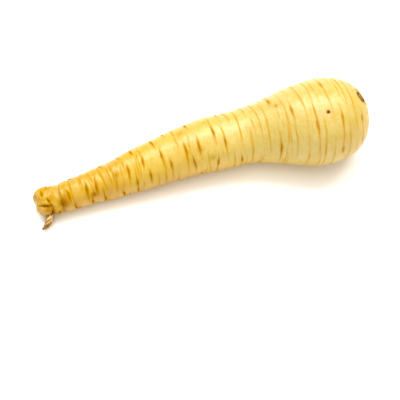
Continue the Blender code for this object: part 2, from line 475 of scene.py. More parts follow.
@dataclass(frozen=True)
class SweepFinish:
    """Matt white painted board, which gives the eye a clean bright ground and a soft shadow."""

    name: str = "matt white board"
    white: str = "FCFCFC"
    off_white: str = "F8F8F8"
    grains_per_metre: float = 300.0
    roughness: float = 0.85
    specular: float = 0.2

    def build(self) -> bpy.types.Material:
        """Make the material, with a trace of board grain.

        Returns:
            The board's material.
        """
        material, tree, shader = start_material(self.name)
        place = add_node(tree, "ShaderNodeTexCoord", {}, {}).outputs["Object"]
        inputs = {"Vector": place, "Scale": self.grains_per_metre}
        sources = {"grain": add_node(tree, "ShaderNodeTexNoise", {}, inputs).outputs[0]}
        coats = (Coat(self.off_white, Share((Reading("grain", rise=Rise.EVEN),))),)
        tree.links.new(paint(tree, sources, self.white, coats), shader.inputs["Base Color"])
        shader.inputs["Roughness"].default_value = self.roughness
        shader.inputs["Specular IOR Level"].default_value = self.specular
        return material


# --------------------------------------------------------------------------------------------
# Shared shaping tools
# --------------------------------------------------------------------------------------------


def ease(at: np.ndarray | float, span: Pair) -> np.ndarray | float:
    """Give a value that rises smoothly from 0 to 1 over a span."""
    share = np.clip((at - span[0]) / (span[1] - span[0]), 0.0, 1.0)
    return share * share * (3.0 - 2.0 * share)


def arch(offset: np.ndarray, half_width: float) -> np.ndarray:
    """Give a smooth bump of height 1 that falls to 0 at the half-width."""
    return 0.5 * (1.0 + np.cos(math.pi * np.clip(np.abs(offset) / half_width, 0.0, 1.0)))


def hump(offset: np.ndarray, half_width: np.ndarray | float) -> np.ndarray:
    """Give a bell of height 1 that has all but gone at twice the half-width."""
    return np.exp(-((offset / half_width) ** 2))


def turn_from(turn: np.ndarray, middle: float) -> np.ndarray:
    """Give signed degrees from a turn round the root, between -180 and 180."""
    return (turn - middle + 180.0) % 360.0 - 180.0


def cloud(points: np.ndarray, size_mm: float, seed: float) -> np.ndarray:
    """Read a smooth random field, about -1 to 1.

    Args:
        points: places in millimetres, one row each.
        size_mm: the size of its lumps.
        seed: shifts the field, so that two differ.

    Returns:
        One value for each place.
    """
    shift = Vector((seed * 7.31, seed * 3.17, seed * 5.79))
    scale = 1.0 / size_mm
    return np.array([noise.noise(Vector(point) * scale + shift) for point in points.tolist()])


def patchy(points: np.ndarray, size_mm: float, seed: float, level: float, swing: float) -> np.ndarray:
    """Give shares between 0 and 1 that come and go in patches about a level."""
    return np.clip(level + swing * cloud(points, size_mm, seed), 0.0, 1.0)


def shape_and_mark(
    mesh: bpy.types.Mesh,
    placed: np.ndarray,
    shift: Vector,
    straight: np.ndarray,
    marks: dict[Mark, np.ndarray],
) -> None:
    """Move a mesh's points to their places and store what its material reads.

    Args:
        mesh: the mesh.
        placed: each point's place in millimetres, from the knob's middle.
        shift: from the knob's middle to the origin, in millimetres.
        straight: each point's place on the straightened root, in millimetres.
        marks: one value for each point, by name.
    """
    places = (placed + np.array(shift)) * MM
    mesh.vertices.foreach_set("co", places.astype(np.float32).ravel())
    attribute = mesh.attributes.new(Mark.STRAIGHT.value, "FLOAT_VECTOR", "POINT")
    attribute.data.foreach_set("vector", straight.astype(np.float32).ravel())
    for name, values in marks.items():
        attribute = mesh.attributes.new(name.value, "FLOAT", "POINT")
        attribute.data.foreach_set("value", values.astype(np.float32))
    mesh.update()


def put_in_scene(
    name: str, mesh: bpy.types.Mesh, material: bpy.types.Material
) -> bpy.types.Object:
    """Make a finished mesh a smooth object that rides on the root.

    Args:
        name: the object's name.
        mesh: the mesh, in metres and in place.
        material: its one material.

    Returns:
        The object.
    """
    mesh.materials.append(material)
    mesh.shade_smooth()
    made = bpy.data.objects.new(name, mesh)
    bpy.context.scene.collection.objects.link(made)
    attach(made, "root")
    log.info("%s: %d points, %d faces", name, len(mesh.vertices), len(mesh.polygons))
    return made


@dataclass
class Strand:
    """One tapering strand, swept along its points."""

    points: list[Vector]
    radii: list[float]
    sides: int = 6
    flatness: float = 1.0
    tone: float = 0.5

    def sweep(
        self, mesh: bmesh.types.BMesh, tone_layer: bmesh.types.BMLayerItem
    ) -> list[bmesh.types.BMVert]:
        """Grow the strand as a closed tube.

        Args:
            mesh: the mesh it is added to.
            tone_layer: the layer that keeps the strand's tone.

        Returns:
            The strand's points.
        """
        frames = self._frames()
        made = bmesh.ops.create_circle(
            mesh, cap_ends=True, segments=self.sides, radius=1.0, matrix=frames[0]
        )
        ring = made["verts"]
        grown = list(ring)
        edges = list({edge for vert in ring for edge in vert.link_edges})
        for before, after in zip(frames, frames[1:]):
            out = bmesh.ops.extrude_edge_only(mesh, edges=edges)["geom"]
            ring = [item for item in out if isinstance(item, bmesh.types.BMVert)]
            edges = [item for item in out if isinstance(item, bmesh.types.BMEdge)]
            bmesh.ops.transform(mesh, matrix=after @ before.inverted(), verts=ring)
            grown += ring
            edges = [edge for edge in edges if all(vert in ring for vert in edge.verts)]
        bmesh.ops.contextual_create(mesh, geom=edges)
        for vert in grown:
            vert[tone_layer] = self.tone
        return grown

    def _frames(self) -> list[Matrix]:
        """Work out the place, direction and size of each ring.

        Returns:
            One matrix for each ring, without a sudden twist between any two.
        """
        frames = []
        turn = None
        last = len(self.points) - 1
        for index, point in enumerate(self.points):
            ahead = self.points[min(index + 1, last)]
            behind = self.points[max(index - 1, 0)]
            tangent = (ahead - behind).normalized()
            if turn is None:
                turn = tangent.to_track_quat("Z", "Y")
            else:
                turn = (turn @ Vector((0.0, 0.0, 1.0))).rotation_difference(tangent) @ turn
            radius = self.radii[index]
            size = Matrix.Diagonal((radius, radius * self.flatness, radius, 1.0))
            frames.append(Matrix.Translation(point) @ turn.to_matrix().to_4x4() @ size)
        return frames


def finish_strands(
    name: str, shape: bmesh.types.BMesh, material: bpy.types.Material, shift: Vector
) -> bpy.types.Object:
    """Turn a mesh of grown strands into a finished piece.

    Args:
        name: the piece's name.
        shape: the strands, in millimetres from the knob's middle.
        material: dried fibre.
        shift: from the knob's middle to the origin, in millimetres.

    Returns:
        The piece's object.
    """
    bmesh.ops.translate(shape, vec=shift, verts=shape.verts)
    bmesh.ops.scale(shape, vec=(MM, MM, MM), verts=shape.verts)
    bmesh.ops.recalc_face_normals(shape, faces=shape.faces)
    mesh = bpy.data.meshes.new(name)
    shape.to_mesh(mesh)
    shape.free()
    return put_in_scene(name, mesh, material)


# --------------------------------------------------------------------------------------------
# The body and crown
# --------------------------------------------------------------------------------------------


@dataclass
class RootForm:
    """The root's shape: where each station and turn lies, in millimetres."""

    body_start: float = 12.0
    crown_start: float = 190.0
    tail_radius: float = 10.3
    neck_radius: float = 18.5
    full_crown_radius: float = 29.2
    taper_span: Pair = (5.0, 125.0)
    swell_span: Pair = (132.0, 193.0)
    bow: float = 11.3
    bow_span: Pair = (5.0, 120.0)
    bow_return: float = 6.5
    bow_return_span: Pair = (138.0, 190.0)
    # Middle, half-length and rise of each arch that lifts the underside.
    underside_arches: tuple[Triple, ...] = ((46.0, 32.0, 0.3), (150.0, 40.0, 1.2))
    rest_trim: float = 0.5
    dome_length: float = 32.6
    dome_fullness: float = 2.25
    dome_arc: float = 30.0
    scar_direction: Triple = (0.82, 0.10, 0.56)
    # Degrees from the scar's middle, and height above the dome there.
    scar_profile: tuple[Pair, ...] = (
        (0.0, -0.6),
        (2.0, -0.7),
        (4.0, -0.4),
        (6.5, -0.8),
        (9.0, -1.1),
        (11.5, -1.3),
        (12.8, -0.9),
        (13.6, 0.1),
        (14.9, 0.45),
        (17.0, 0.25),
        (20.5, 0.05),
        (25.0, 0.0),
    )

    @property
    def crown_radius(self) -> float:
        """Give the radius at the station where the crown's dome begins."""
        return float(self.radius(self.crown_start))

    @property
    def scar_station(self) -> float:
        """Give the station of the scar's middle."""
        return self.crown_start + self.dome_arc * math.pi / 2.0

    def radius(self, station: np.ndarray | float) -> np.ndarray | float:
        """Give the plain radius of the body at each station.

        Args:
            station: distance along.

        Returns:
            The radius in millimetres.
        """
        taper = (self.neck_radius - self.tail_radius) * ease(station, self.taper_span)
        swell = (self.full_crown_radius - self.neck_radius) * ease(station, self.swell_span)
        return self.tail_radius + taper + swell

    def centre(self, station: np.ndarray) -> np.ndarray:
        """Give the middle of the body's ring at each station.

        Args:
            station: distance along for each ring.

        Returns:
            One place in millimetres for each ring.
        """
        bow = self.bow * ease(station, self.bow_span)
        bow -= self.bow_return * ease(station, self.bow_return_span)
        height = self.radius(np.minimum(station, self.crown_start)) - self.rest_trim
        for middle, half_length, rise in self.underside_arches:
            height += rise * arch(station - middle, half_length)
        return np.stack((np.minimum(station, self.crown_start), bow, height), axis=1)

    def polar(self, station: np.ndarray | float) -> np.ndarray | float:
        """Give the angle from the scar's middle, in radians, at each crown station."""
        return math.pi / 2.0 - (station - self.crown_start) / self.dome_arc

    def straight(self, station: np.ndarray, turn: np.ndarray) -> np.ndarray:
        """Place points as if the root were straight, so that patterns follow its bend.

        Args:
            station: distance along for each point.
            turn: degrees round for each point.

        Returns:
            One straightened place in millimetres for each point.
        """
        girth = self.radius(station)
        polar = np.clip(self.polar(station), 0.0, math.pi / 2.0)
        girth = np.where(station > self.crown_start, self.crown_radius * np.sin(polar), girth)
        angle = np.radians(turn)
        return np.stack((station, girth * np.cos(angle), girth * np.sin(angle)), axis=1)

    def place(self, station: np.ndarray, turn: np.ndarray, height: np.ndarray) -> np.ndarray:
        """Place points of the skin.

        Args:
            station: distance along for each point.
            turn: degrees round for each point.
            height: how far each point stands off the plain skin.

        Returns:
            One place in millimetres for each point.
        """
        angle = np.radians(turn)
        reach = self.radius(station) + height
        ring = np.stack((np.zeros_like(angle), reach * np.cos(angle), reach * np.sin(angle)), axis=1)
        placed = self.centre(station) + ring
        crown = station > self.crown_start
        placed[crown] = self._crown(station[crown], angle[crown], height[crown])
        placed[:, 2] = np.maximum(placed[:, 2], 0.0)
        return placed

    def about_axis(self, station: np.ndarray, turn: np.ndarray) -> tuple[np.ndarray, np.ndarray]:
        """Give each point's station and turn about the root's own axis.

        They differ from the mesh's own on the dome only, where the mesh leans over to the scar.

        Args:
            station: distance along for each point.
            turn: degrees round for each point.

        Returns:
            The station and the turn of each point about the axis.
        """
        axial_station = station.copy()
        axial_turn = turn.copy()
        crown = station > self.crown_start
        leaned = self._leaned(station[crown], np.radians(turn[crown]))
        up = np.arcsin(np.clip(leaned[:, 0], -1.0, 1.0))
        axial_station[crown] = self.crown_start + self.dome_arc * up
        axial_turn[crown] = np.degrees(np.arctan2(leaned[:, 2], leaned[:, 1]))
        return axial_station, axial_turn

    def _leaned(self, station: np.ndarray, angle: np.ndarray) -> np.ndarray:
        """Give the way to each place on the dome, whose rings lean over to the leaf scar.

        Args:
            station: distance along for each point.
            angle: radians round for each point.

        Returns:
            One direction from the dome's middle for each point.
        """
        polar = self.polar(station)
        direction = np.stack(
            (np.cos(polar), np.sin(polar) * np.cos(angle), np.sin(polar) * np.sin(angle)), axis=1
        )
        scar = Vector(self.scar_direction).normalized()
        axis = Vector((1.0, 0.0, 0.0))
        hinge = np.array(axis.cross(scar).normalized())
        lean = (axis.angle(scar) * np.cos(polar) ** 2)[:, None]
        along = (direction @ hinge)[:, None]
        turned = direction * np.cos(lean) + np.cross(hinge, direction) * np.sin(lean)
        return turned + hinge * along * (1.0 - np.cos(lean))

    def _crown(self, station: np.ndarray, angle: np.ndarray, height: np.ndarray) -> np.ndarray:
        """Place points of the dome.

        Args:
            station: distance along for each point.
            angle: radians round for each point.
            height: how far each point stands off the plain dome.

        Returns:
            One place in millimetres for each point.
        """
        turned = self._leaned(station, angle)
        across = np.hypot(turned[:, 1], turned[:, 2])
        power = self.dome_fullness
        full = (np.abs(turned[:, 0]) ** power + across**power) ** (-1.0 / power)
        sizes = np.array((self.dome_length, self.crown_radius, self.crown_radius))
        middle = self.centre(np.array((self.crown_start,)))[0]
        return middle + turned * sizes * full[:, None] + turned * height[:, None]


@dataclass(frozen=True)
class Crease:
    """One cross crease: a shallow groove that runs part of the way round."""

    station: float
    middle: float
    half_arc: float
    lean: float
    depth: float
    cores: tuple[float, ...] = ()
    half_width: float = 0.40


@dataclass
class Creases:
    """All the cross creases of the root, grown by one rule the whole way round.

    They stand on rungs, evenly spaced from the tail to the crown. Each rung carries a few creases side
    by side round the root, and is turned against the rung before it, so that they interleave.
    """

    seed: int = 11
    per_rung: int = 3
    rung_turn: float = 47.0
    first_station: float = 15.0
    last_station: float = 226.0
    tail_step: float = 3.9
    neck_step: float = 5.6
    crown_step: float = 5.2
    step_range: Pair = (0.88, 1.12)
    stagger: float = 0.16
    body_half_arc: Pair = (26.0, 50.0)
    crown_half_arc: Pair = (42.0, 68.0)
    turn_jitter: float = 20.0
    lean_range: Pair = (0.5, 3.0)
    depth_range: Pair = (0.15, 0.32)
    strength_range: Pair = (0.75, 1.0)
    core_chance: float = 0.55
    crown_core_loss: float = 0.35
    second_core_chance: float = 0.15
    core_half_mm: float = 4.2
    core_size_range: Pair = (0.8, 1.3)
    crown_brown_loss: float = 0.5
    slant: float = 0.12
    slant_turn: float = 117.0
    # Heights and ranges of frequency of the long and the short wave that a crease runs in.
    wave_heights: Pair = (0.22, 0.07)
    long_waves: Pair = (3.0, 6.0)
    short_waves: Pair = (12.0, 20.0)
    phases: Pair = (0.0, 6.0)
    ripples: Pair = (7.0, 13.0)
    ripple_height: float = 0.15
    tail_span: Pair = (70.0, 20.0)
    tail_widening: float = 0.35
    tail_deepening: float = 0.9
    core_widening: float = 0.70
    core_deepening: float = 0.7
    # The lip beside a groove, and the drawn line and brown core in it, in widths of the groove.
    lip_height: float = 0.14
    lip_place: float = 2.3
    lip_width: float = 1.2
    line_width: float = 1.5
    core_width: float = 0.8
    reach: float = 9.0
    fine_share: float = 0.45
    fine_half_arc: Pair = (16.0, 45.0)
    fine_lean: float = 0.8
    fine_depth: float = 0.09
    fine_half_width: float = 0.32

    def grown(self, form: RootForm) -> list[Crease]:
        """List every crease.

        Args:
            form: the root's shape.

        Returns:
            The main creases, and then the fine ones between them.
        """
        chance = random.Random(self.seed)
        found = []
        rung = self.first_station
        turned = 0.0
        while rung < self.last_station:
            step = self._step(form, rung)
            for place in range(self.per_rung):
                station = rung + chance.uniform(-self.stagger, self.stagger) * step
                turn = turned + 360.0 * place / self.per_rung
                found.append(self._main(form, station, turn, chance))
            rung += step * chance.uniform(*self.step_range)
            turned += self.rung_turn
        fine = [self._fine(chance) for _ in range(int(len(found) * self.fine_share))]
        return found + fine

    def _step(self, form: RootForm, station: float) -> float:
        """Give the usual gap from one rung to the next, which widens with the root.

        Args:
            form: the root's shape.
            station: the rung's station.

        Returns:
            The gap in millimetres.
        """
        widened = (self.neck_step - self.tail_step) * ease(station, form.taper_span)
        widened += (self.crown_step - self.neck_step) * ease(station, form.swell_span)
        return self.tail_step + float(widened)

    def _main(self, form: RootForm, station: float, turn: float, chance: random.Random) -> Crease:
        """Grow one main crease: longer on the crown than on the body, many with a dark middle.

        Args:
            form: the root's shape.
            station: where it stands along the root.
            turn: about where its middle is round the root.
            chance: the source of random numbers.

        Returns:
            The crease.
        """
        middle = turn + chance.uniform(-self.turn_jitter, self.turn_jitter)
        on_crown = station > form.swell_span[0]
        half = chance.uniform(*(self.crown_half_arc if on_crown else self.body_half_arc))
        cores = []
        swell = float(ease(station, form.swell_span))
        if chance.random() < self.core_chance * (1.0 - self.crown_core_loss * swell):
            cores.append(middle + chance.uniform(-0.5, 0.5) * half)
        if chance.random() < self.second_core_chance:
            cores.append(middle + chance.choice((-0.7, 0.7)) * half)
        lean = chance.uniform(*self.lean_range) * (1.0 - swell)
        depth = chance.uniform(*self.depth_range)
        return Crease(station, middle, half, lean, depth, tuple(cores))

    def _fine(self, chance: random.Random) -> Crease:
        """Grow one fine crease, faint and without a dark middle.

        Args:
            chance: the source of random numbers.

        Returns:
            The crease.
        """
        station = chance.uniform(self.first_station, self.last_station)
        middle = chance.uniform(0.0, 360.0)
        half = chance.uniform(*self.fine_half_arc)
        lean = chance.uniform(-self.fine_lean, self.fine_lean)
        return Crease(station, middle, half, lean, self.fine_depth, (), self.fine_half_width)

    def press(
        self, form: RootForm, station: np.ndarray, turn: np.ndarray
    ) -> tuple[np.ndarray, np.ndarray, np.ndarray]:
        """Press the creases into the skin.

        Args:
            form: the root's shape.
            station: distance along for each point.
            turn: degrees round for each point.

        Returns:
            The height, crease mark and core mark of each point.
        """
        chance = random.Random(self.seed + 1)
        height = np.zeros_like(station)
        line = np.zeros_like(station)
        core = np.zeros_like(station)
        for crease in self.grown(form):
            near = np.nonzero(np.abs(station - crease.station) < self.reach)[0]
            sunk, drawn, dark = self._press_one(form, crease, station[near], turn[near], chance)
            height[near] -= sunk
            line[near] = np.maximum(line[near], drawn)
            core[near] = np.maximum(core[near], dark)
        return height, line, core

    def _press_one(
        self,
        form: RootForm,
        crease: Crease,
        station: np.ndarray,
        turn: np.ndarray,
        chance: random.Random,
    ) -> tuple[np.ndarray, np.ndarray, np.ndarray]:
        """Press one crease into the points near it.

        Args:
            form: the root's shape.
            crease: the crease.
            station: distance along for each point.
            turn: degrees round for each point.
            chance: the source of random numbers.

        Returns:
            How deep, how strongly drawn and how brown each point is.
        """
        away = turn_from(turn, crease.middle)
        share = away / crease.half_arc
        inside = np.clip(1.0 - share**2, 0.0, 1.0) * chance.uniform(*self.strength_range)
        round_by = np.radians(away)
        often = chance.uniform(*self.long_waves)
        long_wave = np.sin(round_by * often + chance.uniform(*self.phases))
        wave = self.wave_heights[0] * long_wave
        wave += self.wave_heights[1] * np.sin(round_by * chance.uniform(*self.short_waves))
        dome = max(0.0, (crease.station - form.crown_start) / form.dome_arc)
        girth = float(form.radius(crease.station)) * math.cos(min(dome, 1.5))
        tilt = self.slant * girth * np.cos(np.radians(turn - self.slant_turn))
        offset = station - crease.station - 0.5 * crease.lean * share - wave - tilt
        first, last = self.tail_span
        tail = max(0.0, min(1.0, (crease.station - first) / (last - first)))
        often = chance.uniform(*self.ripples)
        ripple = self.ripple_height * np.sin(round_by * often + chance.uniform(*self.phases))
        shown = inside * (1.0 - self.ripple_height + ripple)
        middle = np.zeros_like(share)
        for place in crease.cores:
            reach = self.core_half_mm * chance.uniform(*self.core_size_range)
            half_turn = math.degrees(reach / girth)
            middle = np.maximum(middle, hump(turn_from(turn, place), half_turn))
        width = crease.half_width * (1.0 + self.tail_widening * tail)
        wide = width * (1.0 + self.core_widening * middle)
        trench = hump(offset, wide)
        lip = hump(np.abs(offset) - self.lip_place * wide, self.lip_width * wide)
        depth = crease.depth * (1.0 + self.tail_deepening * tail) * (1.0 + self.core_deepening * middle)
        drawn = np.maximum(shown, middle) * hump(offset, self.line_width * wide)
        brown = 1.0 - self.crown_brown_loss * float(ease(crease.station, form.swell_span))
        dark = brown * middle * hump(offset, self.core_width * wide)
        return depth * shown * (trench - self.lip_height * lip), drawn, dark


@dataclass(frozen=True)
class SkinPoints:
    """Where each point of the body's mesh lies on the skin.

    The station and turn are the mesh's own, whose rings lean over on the dome. The axial pair is about
    the root's own axis, and straight is the place on a root without a bend, in millimetres.
    """

    station: np.ndarray
    turn: np.ndarray
    straight: np.ndarray
    axial_station: np.ndarray
    axial_turn: np.ndarray


@dataclass
class RootBody:
    """The tapering body and its crown, from the fold behind the knob to the leaf scar."""

    form: RootForm
    creases: Creases
    sides: int = 128
    mesh_step: float = 0.33
    scar_mesh_step: float = 0.22
    scar_mesh_reach: float = 11.0
    tail_dome: float = 4.0
    tail_dome_rings: int = 10
    underside_turn: float = 270.0
    underside_half: float = 60.0
    # Waves along, waves round, phase and height of each broad wave.
    waves: tuple[tuple[float, int, float, float], ...] = (
        (3.0, 2, 0.4, 0.20),
        (5.0, 1, 2.1, 0.15),
        (7.0, 3, 4.0, 0.12),
    )
    wave_span: float = 180.0
    wave_fade: float = 25.0
    pinch_first: float = 17.5
    pinch_step: float = 7.0
    pinch_count: int = 6
    pinch_depths: Pair = (0.65, 0.4)
    pinch_slant: float = 1.6
    pinch_half_width: float = 0.8
    pinch_line_half_width: float = 0.55
    pinch_ink: float = 0.9
    bulge_share: float = 0.4
    bulge_shift: float = 2.6
    bulge_half_width: float = 1.8
    lump_height: float = 0.20
    fine_lump_height: float = 0.10
    soft_end_turn: float = 350.0
    soft_end_depth: float = 1.5
    soft_end_half_width: float = 2.6
    # The scar, in degrees from its middle.
    plate_edge: float = 13.2
    plate_edge_blend: float = 0.8
    clear_span: Pair = (14.0, 22.0)
    plate_radius: float = 7.6
    plate_blend: float = 1.2
    plate_ink: float = 0.62
    ring_span: Pair = (196.0, 216.0)
    ring_fade: Pair = (218.0, 229.0)
    ring_step: float = 1.7
    ring_height: float = 0.06
    ring_ink: float = 0.6
    pit_turn: float = 110.0
    pit_radius: float = 1.0
    pit_depth: float = 0.55
    stain_seed: int = 4
    stain_count: int = 16
    stain_radius: Pair = (0.8, 2.2)
    stain_strength: Pair = (0.55, 1.0)
    # The joint's dark band and the patch on one side of it are partly painted shade.
    joint_turn: float = 143.0
    joint_edge: float = 12.9
    joint_blend: float = 1.6
    joint_inks: Pair = (0.10, 0.70)
    joint_lead: float = 7.0
    joint_half_turn: float = 32.0
    patch_ink: float = 0.85
    patch_station: float = 11.8
    patch_half_width: float = 3.6
    patch_half_turn: float = 27.0
    neck_station: float = 168.0
    warming_length: float = 145.0
    # The crown's end is deeper gold partly as its own colour and partly as painted shade where less
    # light reaches it.
    crown_warmth: float = 0.62
    crown_warm_span: Pair = (188.0, 226.0)
    # Painted shade: deeper gold laid low on the side towards the camera, fading out on the crown.
    painted_low_shade: float = 0.55
    painted_shade_turn: float = 200.0
    painted_shade_half_turn: float = 38.0
    painted_shade_fade: Pair = (150.0, 205.0)

    def pit_place(self) -> Vector:
        """Give the straightened place of the pit, in millimetres."""
        station = np.array((self.form.crown_start,))
        return Vector(self.form.straight(station, np.array((self.pit_turn,)))[0].tolist())

    def build(self, material: bpy.types.Material, shift: Vector) -> bpy.types.Object:
        """Build, shape and dress the body.

        Args:
            material: the skin.
            shift: from the knob's middle to the origin, in millimetres.

        Returns:
            The body's object.
        """
        shape, layer = self._revolve()
        station = np.array([vert[layer] for vert in shape.verts])
        turn = np.degrees([math.atan2(vert.co.z, vert.co.y) for vert in shape.verts])
        mesh = bpy.data.meshes.new("root_body")
        shape.to_mesh(mesh)
        shape.free()
        straight = self.form.straight(station, turn)
        points = SkinPoints(station, turn, straight, *self.form.about_axis(station, turn))
        height, line, core = self.creases.press(self.form, points.axial_station, points.axial_turn)
        height, stain = self._blemishes(points, height + self._unevenness(points))
        rings, ring_lines = self._growth_rings(points)
        height, scar, clear = self._scar(points, height + rings)
        placed = self.form.place(station, turn, height)
        dome = station < self.form.body_start
        placed[dome] = self._tail_dome(station[dome], turn[dome])
        marks = {
            Mark.CREASE: np.maximum.reduce((line, self._pinch_ink(points), ring_lines)) * clear,
            Mark.CORE: core * clear,
            Mark.STAIN: stain,
            Mark.FOLD: self._tail_fold(points),
            Mark.SCAR: scar,
            Mark.TAIL: self._warmth(points),
        }
        shape_and_mark(mesh, placed, shift, straight, marks)
        self._unwrap(mesh, points)
        made = put_in_scene("root_body", mesh, material)
        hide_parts(CAD_NODE)
        return made

    def _revolve(self) -> tuple[bmesh.types.BMesh, bmesh.types.BMLayerItem]:
        """Spin the straight outline of the root into a closed skin.

        Returns:
            The mesh, and the layer that keeps each point's station.
        """
        shape = bmesh.new()
        layer = shape.verts.layers.float.new("station")
        previous = None
        edges = []
        for place in self._ring_stations():
            across, along = self._outline(place)
            vert = shape.verts.new((along, across, 0.0))
            vert[layer] = place
            if previous is not None:
                edges.append(shape.edges.new((previous, vert)))
            previous = vert
        bmesh.ops.spin(
            shape,
            geom=list(shape.verts) + edges,
            cent=(0.0, 0.0, 0.0),
            axis=(1.0, 0.0, 0.0),
            angle=2.0 * math.pi,
            steps=self.sides,
            use_merge=True,
        )
        bmesh.ops.remove_doubles(shape, verts=shape.verts, dist=1e-5)
        bmesh.ops.recalc_face_normals(shape, faces=shape.faces)
        return shape, layer

    def _ring_stations(self) -> list[float]:
        """List the stations of the rings, closer together at both ends.

        Returns:
            The stations, from the tail's pole to the scar's middle.
        """
        start = self.form.body_start
        stop = self.form.scar_station
        scar_start = stop - self.scar_mesh_reach
        body_rings = int((scar_start - start) / self.mesh_step)
        scar_rings = int(self.scar_mesh_reach / self.scar_mesh_step)
        tail = np.linspace(start - self.tail_dome, start, self.tail_dome_rings)[:-1]
        body = np.linspace(start, scar_start, body_rings)[:-1]
        return [*tail, *body, *np.linspace(scar_start, stop, scar_rings)]

    def _outline(self, place: float) -> tuple[float, float]:
        """Draw the straight root's outline at one station.

        Args:
            place: the station.

        Returns:
            The radius, which is 0 at both poles, and the length.
        """
        start = self.form.body_start
        if place < start:
            share = (start - place) / self.tail_dome
            return float(self.form.radius(start)) * math.sqrt(max(0.0, 1.0 - share**2)), place
        if place > self.form.crown_start:
            polar = max(0.0, self.form.polar(place))
            polar = 0.0 if polar < 1e-6 else polar
            along = self.form.crown_start + self.form.dome_length * math.cos(polar)
            return self.form.crown_radius * math.sin(polar), along
        return float(self.form.radius(place)), place

    def _tail_dome(self, station: np.ndarray, turn: np.ndarray) -> np.ndarray:
        """Place the points that round off the body's end inside the knob.

        Args:
            station: distance along for each point.
            turn: degrees round for each point.

        Returns:
            One place in millimetres for each point.
        """
        start = self.form.body_start
        share = (start - station) / self.tail_dome
        reach = float(self.form.radius(start)) * np.sqrt(np.clip(1.0 - share**2, 0.0, 1.0))
        reach -= self._rounded_end(station, turn)
        angle = np.radians(turn)
        placed = self.form.centre(np.full_like(station, start))
        placed[:, 0] = station
        placed[:, 1] += reach * np.cos(angle)
        placed[:, 2] = np.maximum(placed[:, 2] + reach * np.sin(angle), 0.0)
        return placed

    def _rounded_end(self, station: np.ndarray, turn: np.ndarray) -> np.ndarray:
        """Draw in the body's end on its far side, where it runs smoothly into the knob.

        Args:
            station: distance along for each point.
            turn: degrees round for each point.

        Returns:
            How far each point is drawn in.
        """
        facing = (0.5 + 0.5 * np.cos(np.radians(turn - self.soft_end_turn))) ** 1.5
        away = station - self.form.body_start
        return self.soft_end_depth * facing * hump(away, self.soft_end_half_width)

    def _unevenness(self, points: SkinPoints) -> np.ndarray:
        """Raise the skin's broad waves, tail pinches and small lumps, none of them underneath.

        Args:
            points: where the mesh's points lie.

        Returns:
            The height of each point.
        """
        station = points.station
        angle = np.radians(points.turn)
        along = 2.0 * math.pi * station / self.wave_span
        fade = np.clip((self.form.crown_start - station) / self.wave_fade, 0.0, 1.0)
        height = -self._rounded_end(station, points.turn)
        for waves_along, waves_round, phase, size in self.waves:
            height += fade * size * np.sin(waves_along * along + phase + waves_round * angle)
        for index in range(self.pinch_count):
            away, fullness = self._pinch(index, station, angle)
            depth = self.pinch_depths[index % len(self.pinch_depths)] * fullness
            height -= depth * hump(away, self.pinch_half_width)
            bulge = hump(away + self.bulge_shift, self.bulge_half_width)
            height += self.bulge_share * depth * bulge
        off_scar = np.clip((self.form.scar_station - 8.0 - station) / 10.0, 0.0, 1.0)
        height += self.lump_height * cloud(points.straight, 22.0, 1.0)
        height += self.fine_lump_height * cloud(points.straight, 7.0, 2.0) * off_scar
        under = turn_from(points.turn, self.underside_turn)
        return height * (1.0 - arch(under, self.underside_half))

    def _pinch(
        self, index: int, station: np.ndarray, angle: np.ndarray
    ) -> tuple[np.ndarray, np.ndarray]:
        """Measure points against one tail pinch.

        Args:
            index: which pinch, counted from the tail.
            station: distance along for each point.
            angle: radians round for each point.

        Returns:
            Each point's distance from the pinch, and how full the pinch is there.
        """
        position = self.pinch_first + index * self.pinch_step - self.pinch_slant * np.cos(angle)
        position += 0.9 * math.sin(2.3 * index) + 0.5 * np.sin(angle * 2.0 + index)
        return station - position, 0.75 + 0.25 * np.sin(angle + 1.9 * index)

    def _pinch_ink(self, points: SkinPoints) -> np.ndarray:
        """Draw each tail pinch as a broken ochre line.

        Args:
            points: where the mesh's points lie.

        Returns:
            How strongly each point is drawn.
        """
        broken = self.pinch_ink * patchy(points.straight, 6.0, 19.0, 0.55, 1.3)
        ink = np.zeros_like(points.station)
        for index in range(self.pinch_count):
            away, fullness = self._pinch(index, points.station, np.radians(points.turn))
            ink = np.maximum(ink, fullness * broken * hump(away, self.pinch_line_half_width))
        return ink

    def _tail_fold(self, points: SkinPoints) -> np.ndarray:
        """Mark the dark fold where the body meets the knob: its own brown and painted shade.

        Args:
            points: where the mesh's points lie.

        Returns:
            How much of the fold each point shows.
        """
        angle = np.radians(points.turn)
        ragged = points.station + 0.9 * np.sin(angle * 3.0 + 0.8) + 0.5 * np.sin(angle * 7.0)
        depth = np.clip((self.joint_edge - ragged) / self.joint_blend, 0.0, 1.0)
        facing = turn_from(points.turn, self.joint_turn)
        patch = self.patch_ink * hump(points.station - self.patch_station, self.patch_half_width)
        least, more = self.joint_inks
        inked = depth * (least + more * hump(facing - self.joint_lead, self.joint_half_turn))
        return np.maximum(inked, patch * hump(facing, self.patch_half_turn))

    def _spot(self, points: SkinPoints, station: float, turn: float) -> np.ndarray:
        """Give each point's distance over the skin from one spot, in millimetres."""
        girth = float(self.form.radius(min(station, self.form.crown_start)))
        return np.hypot(points.station - station, np.radians(turn_from(points.turn, turn)) * girth)

